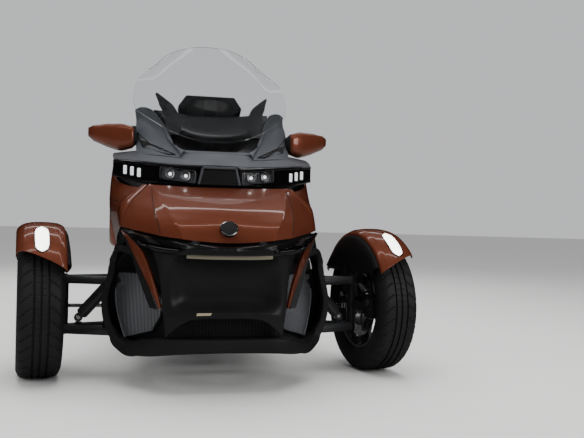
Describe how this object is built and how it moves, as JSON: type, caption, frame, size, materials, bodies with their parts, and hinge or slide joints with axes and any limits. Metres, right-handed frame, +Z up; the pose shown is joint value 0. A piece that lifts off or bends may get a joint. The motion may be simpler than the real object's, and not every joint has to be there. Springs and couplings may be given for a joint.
{
  "type": "three-wheeled touring roadster",
  "caption": "Touring roadster trike with two steered front wheels, one driven rear wheel, opening hood, luggage cases and a tall clear screen.",
  "frame": {"origin": "on the ground under the middle of the whole vehicle", "axes": "+Y from the nose to the tail, +X to the vehicle's left, +Z up"},
  "size_m": [1.6374, 2.833, 1.46],
  "materials": {
    "brown_paint": "gloss metallic paint",
    "grey_paint": "matte dark grey paint",
    "black_gloss": "gloss black moulding",
    "black_satin": "satin black moulding",
    "black_mesh": "black mesh",
    "frame_steel": "black powder coat",
    "cast_metal": "cast aluminium",
    "wheel_metal": "dark painted cast wheel",
    "tyre": "tyre rubber",
    "rubber": "moulded rubber",
    "seat_cover": "black seat cover",
    "clear_screen": "clear screen",
    "lamp_lens": "clear lamp lens",
    "spring_steel": "painted spring"
  },
  "bodies": {
    "chassis": {"frame": "frame_steel", "engine_block": "cast_metal", "suspension_arms": "frame_steel", "front_shocks": "spring_steel", "swingarm": "frame_steel", "muffler": "black_satin", "belt_drive": "rubber", "front_trunk": "black_satin", "lower_fascia": "black_satin", "radiator_grilles": "black_mesh", "centre_panel": "black_satin", "nose_band": "black_gloss", "cheek_blades": "brown_paint", "lamp_panel": "black_gloss", "headlamp_lenses": "lamp_lens", "upper_fairing": "grey_paint", "side_panels": "brown_paint", "lower_side_panels": "black_satin", "dash_bowl": "black_gloss", "instrument_binnacle": "black_satin", "windshield": "clear_screen", "windshield_arms": "black_gloss", "mirror_pods": "brown_paint", "console_cover": "brown_paint", "seats": "seat_cover", "backrest": "seat_cover", "side_case_tubs": "black_satin", "top_case_tub": "black_satin", "tail_section": "black_satin", "rear_fender": "black_satin", "footboards": "cast_metal"},
    "hood": {"hood": "brown_paint"},
    "handlebar": {"handlebar": "black_satin"},
    "rack": {"steering_rack": "frame_steel"},
    "rear_wheel": {"rear_tyre": "tyre", "rear_rim": "wheel_metal"},
    "top_case_lid": {"top_case_lid": "brown_paint"},
    "steering_left": {"knuckle_left": "cast_metal", "fender_left": "brown_paint", "fender_lamp_left": "lamp_lens"},
    "front_wheel_left": {"front_left_tyre": "tyre", "front_left_rim": "wheel_metal"},
    "side_case_lid_left": {"side_case_left_lid": "brown_paint"},
    "steering_right": {"knuckle_right": "cast_metal", "fender_right": "brown_paint", "fender_lamp_right": "lamp_lens"},
    "front_wheel_right": {"front_right_tyre": "tyre", "front_right_rim": "wheel_metal"},
    "side_case_lid_right": {"side_case_right_lid": "brown_paint"}
  },
  "joints": [
    {"name": "handlebar_turn", "type": "hinge", "parent": "chassis", "child": "handlebar", "pos_m": [0, -0.3165, 0.905], "axis": [0, 0.4067, 0.9135], "range_deg": [-37, 19]},
    {"name": "hood_hinge", "type": "hinge", "parent": "chassis", "child": "hood", "pos_m": [0, -1.3785, 0.552], "axis": [1, 0, 0], "range_deg": [0, 55]},
    {"name": "rack_slide", "type": "slide", "parent": "chassis", "child": "rack", "axis": [1, 0, 0], "range_m": [-0.031, 0.06]},
    {"name": "rear_wheel_spin", "type": "hinge", "parent": "chassis", "child": "rear_wheel", "pos_m": [0, 0.8375, 0.303], "axis": [1, 0, 0], "continuous": true},
    {"name": "top_case_hinge", "type": "hinge", "parent": "chassis", "child": "top_case_lid", "pos_m": [0, 0.8755, 1.203], "axis": [1, 0, 0], "range_deg": [0, 50]},
    {"name": "steering_left_turn", "type": "hinge", "parent": "chassis", "child": "steering_left", "pos_m": [0.6, -0.8765, 0.281], "axis": [0, 0, 1], "range_deg": [-37.2, 19.2]},
    {"name": "front_wheel_left_spin", "type": "hinge", "parent": "steering_left", "child": "front_wheel_left", "pos_m": [0.69087, -0.86211, 0.281], "axis": [0.9877, 0.1564, 0], "continuous": true},
    {"name": "side_case_left_hinge", "type": "hinge", "parent": "chassis", "child": "side_case_lid_left", "pos_m": [0.405, 0.9835, 0.445], "axis": [0, 1, 0], "range_deg": [0, 55]},
    {"name": "steering_right_turn", "type": "hinge", "parent": "chassis", "child": "steering_right", "pos_m": [-0.6, -0.8765, 0.281], "axis": [0, 0, 1], "range_deg": [-37.2, 19.2]},
    {"name": "front_wheel_right_spin", "type": "hinge", "parent": "steering_right", "child": "front_wheel_right", "pos_m": [-0.69087, -0.89089, 0.281], "axis": [0.9877, 0.1564, 0], "continuous": true},
    {"name": "side_case_right_hinge", "type": "hinge", "parent": "chassis", "child": "side_case_lid_right", "pos_m": [-0.405, 0.9835, 0.445], "axis": [0, -1, 0], "range_deg": [0, 55]}
  ],
  "couplings": [
    {"joint": "rack_slide", "follows": "handlebar_turn", "m_per_rad": -0.0915},
    {"joint": "steering_left_turn", "follows": "handlebar_turn", "ratio": 1},
    {"joint": "steering_right_turn", "follows": "handlebar_turn", "ratio": 1}
  ]
}
